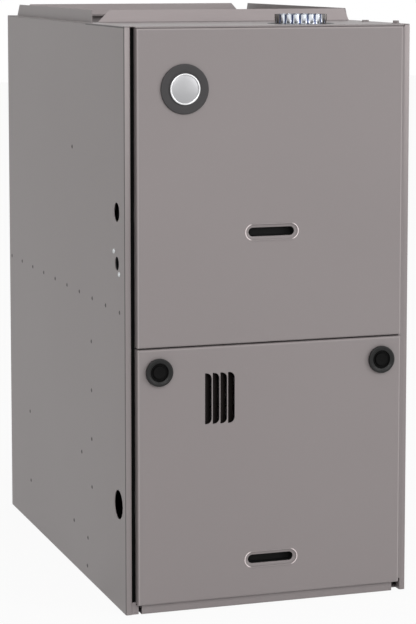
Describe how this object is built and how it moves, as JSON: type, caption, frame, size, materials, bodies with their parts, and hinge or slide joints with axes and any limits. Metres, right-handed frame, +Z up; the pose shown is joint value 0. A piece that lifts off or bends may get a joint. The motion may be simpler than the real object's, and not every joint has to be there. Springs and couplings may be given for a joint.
{
  "type": "forced air gas furnace",
  "caption": "Upflow gas furnace in a grey sheet-steel cabinet with lift-off doors, quarter-turn latches, tubular heat exchanger, draft inducer and squirrel-cage blower.",
  "frame": {"origin": "on the floor, at the middle of the casing's footprint", "axes": "+X to the right seen from the doors, +Y from the doors to the back, +Z up"},
  "size_m": [0.4444, 0.7355, 0.8826],
  "materials": {
    "casing_paint": "baked grey-brown paint, low sheen",
    "galvanised": "galvanised sheet with faint spangle",
    "vent_metal": "bright galvanised, polished by forming",
    "aluminised": "dull aluminised steel",
    "black_plastic": "moulded black, satin",
    "badge_grey": "dark grey, fine texture",
    "silver_trim": "satin bright metal",
    "cast_aluminium": "as cast, fine grain",
    "black_steel": "black enamelled or mill-scaled steel",
    "brass": "turned brass",
    "ceramic": "unglazed off-white ceramic",
    "steel_shaft": "ground steel",
    "switch_grey": "moulded grey",
    "reset_red": "moulded red",
    "silicone": "soft matt tube",
    "circuit_board": "lacquered board"
  },
  "bodies": {
    "furnace": {"casing_wrapper": "casing_paint", "top_plate": "casing_paint", "base_pan": "casing_paint", "vent_collar": "vent_metal", "blower_deck": "galvanised", "vestibule_panel": "galvanised", "cross_rail": "galvanised", "heat_exchanger_tube_1": "aluminised", "heat_exchanger_tube_2": "aluminised", "heat_exchanger_tube_3": "aluminised", "tube_support": "galvanised", "collector_box": "galvanised", "inducer_housing": "black_steel", "inducer_motor": "black_steel", "flue_transition": "galvanised", "burner_1": "aluminised", "burner_2": "aluminised", "burner_3": "aluminised", "gas_orifice_1": "brass", "gas_orifice_2": "brass", "gas_orifice_3": "brass", "burner_rack": "aluminised", "gas_manifold": "black_steel", "gas_valve": "cast_aluminium", "hot_surface_igniter": "ceramic", "flame_sensor": "ceramic", "rollout_switch_left": "black_plastic", "rollout_switch_right": "black_plastic", "main_limit_switch": "black_plastic", "pressure_switch": "switch_grey", "pressure_hose": "silicone", "blower_wrap": "galvanised", "blower_side_right": "galvanised", "blower_side_left": "galvanised", "blower_motor": "black_steel", "motor_mount": "galvanised", "blower_capacitor": "cast_aluminium", "control_tray": "galvanised", "control_board": "circuit_board", "transformer": "black_steel", "door_switch": "black_plastic", "junction_box": "galvanised"},
    "upper_door": {"upper_door": "casing_paint", "upper_handle": "black_plastic", "badge_disc": "badge_grey", "badge_medallion": "silver_trim"},
    "lower_door": {"lower_door": "casing_paint", "lower_handle": "black_plastic", "louvre_insert": "black_plastic"},
    "left_knob": {"left_knob": "black_plastic"},
    "right_knob": {"right_knob": "black_plastic"},
    "blower_rotor": {"blower_wheel": "galvanised", "blower_shaft": "steel_shaft"},
    "inducer_rotor": {"inducer_wheel": "galvanised", "inducer_shaft": "steel_shaft", "inducer_cooling_fan": "black_plastic"},
    "gas_valve_knob": {"gas_valve_knob": "black_plastic"},
    "door_switch_plunger": {"door_switch_plunger": "switch_grey"},
    "rollout_button_left": {"rollout_button_left": "reset_red"},
    "rollout_button_right": {"rollout_button_right": "reset_red"}
  },
  "joints": [
    {"name": "upper_door_removal", "type": "slide", "parent": "furnace", "child": "upper_door", "axis": [0, -1, 0], "range_m": [0, 0.3]},
    {"name": "lower_door_removal", "type": "slide", "parent": "furnace", "child": "lower_door", "axis": [0, -1, 0], "range_m": [0, 0.3]},
    {"name": "left_knob_turn", "type": "hinge", "parent": "lower_door", "child": "left_knob", "pos_m": [-0.1745, -0.37, 0.3617], "axis": [0, -1, 0], "range_deg": [0, 90]},
    {"name": "right_knob_turn", "type": "hinge", "parent": "lower_door", "child": "right_knob", "pos_m": [0.1745, -0.37, 0.3617], "axis": [0, 1, 0], "range_deg": [0, 90]},
    {"name": "blower_spin", "type": "hinge", "parent": "furnace", "child": "blower_rotor", "pos_m": [0, 0.0605, 0.236], "axis": [1, 0, 0], "continuous": true},
    {"name": "inducer_spin", "type": "hinge", "parent": "furnace", "child": "inducer_rotor", "pos_m": [0.0205, -0.285, 0.728], "axis": [0, 1, 0], "continuous": true},
    {"name": "gas_valve_knob_turn", "type": "hinge", "parent": "furnace", "child": "gas_valve_knob", "pos_m": [-0.106, -0.3275, 0.5963], "axis": [0, -1, 0], "range_deg": [0, 90]},
    {"name": "door_switch_plunger_slide", "type": "slide", "parent": "furnace", "child": "door_switch_plunger", "axis": [0, -1, 0], "range_m": [0, 0.004]},
    {"name": "rollout_button_left_press", "type": "slide", "parent": "furnace", "child": "rollout_button_left", "axis": [0, 1, 0], "range_m": [0, 0.0015], "stiffness_N_per_m": 400, "springref_m": -0.001},
    {"name": "rollout_button_right_press", "type": "slide", "parent": "furnace", "child": "rollout_button_right", "axis": [0, 1, 0], "range_m": [0, 0.0015], "stiffness_N_per_m": 400, "springref_m": -0.001}
  ],
  "couplings": [
    {"joint": "door_switch_plunger_slide", "follows": "lower_door_removal", "ratio": 0.013333}
  ]
}
